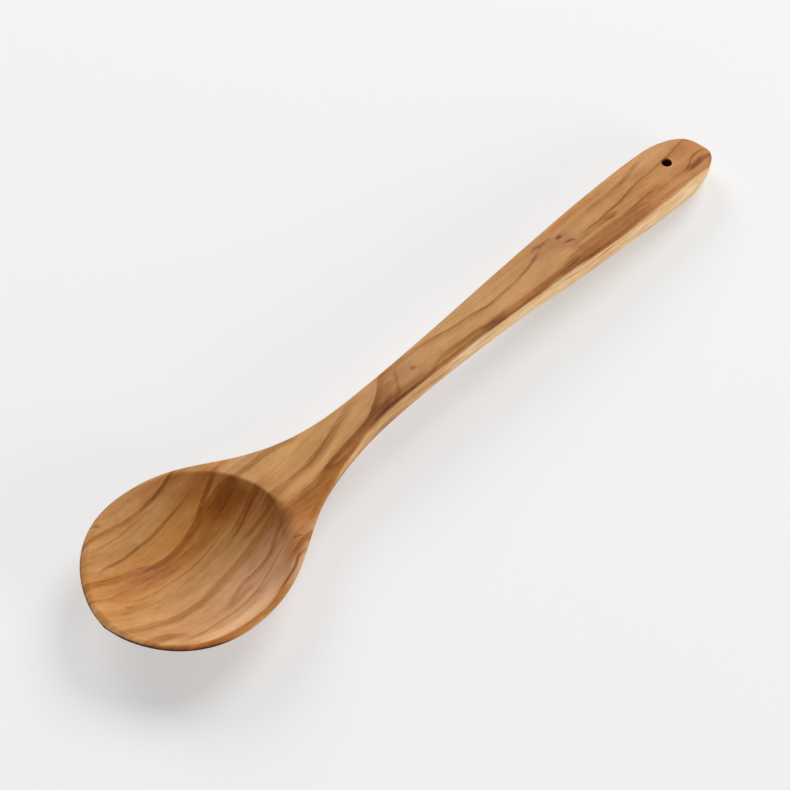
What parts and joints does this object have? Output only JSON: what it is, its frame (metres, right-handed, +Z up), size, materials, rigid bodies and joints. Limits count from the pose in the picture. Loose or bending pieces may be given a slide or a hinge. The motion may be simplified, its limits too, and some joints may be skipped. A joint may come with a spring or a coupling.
{
  "type": "wooden spoon",
  "caption": "Carved wooden spoon with a round scooped bowl, a narrow neck and a handle that widens to a rounded end with a hanging hole.",
  "frame": {"origin": "on the table that the spoon lies on, under the middle of its overall box", "axes": "+X along the handle, from the bowl to the end with the hole; +Z up, out of the open bowl; +Y to the left when looking along +X"},
  "size_m": [0.2998, 0.07, 0.0206],
  "materials": {
    "olive_wood": "oiled, satin"
  },
  "bodies": {
    "root": {"spoon": "olive_wood"}
  },
  "joints": []
}
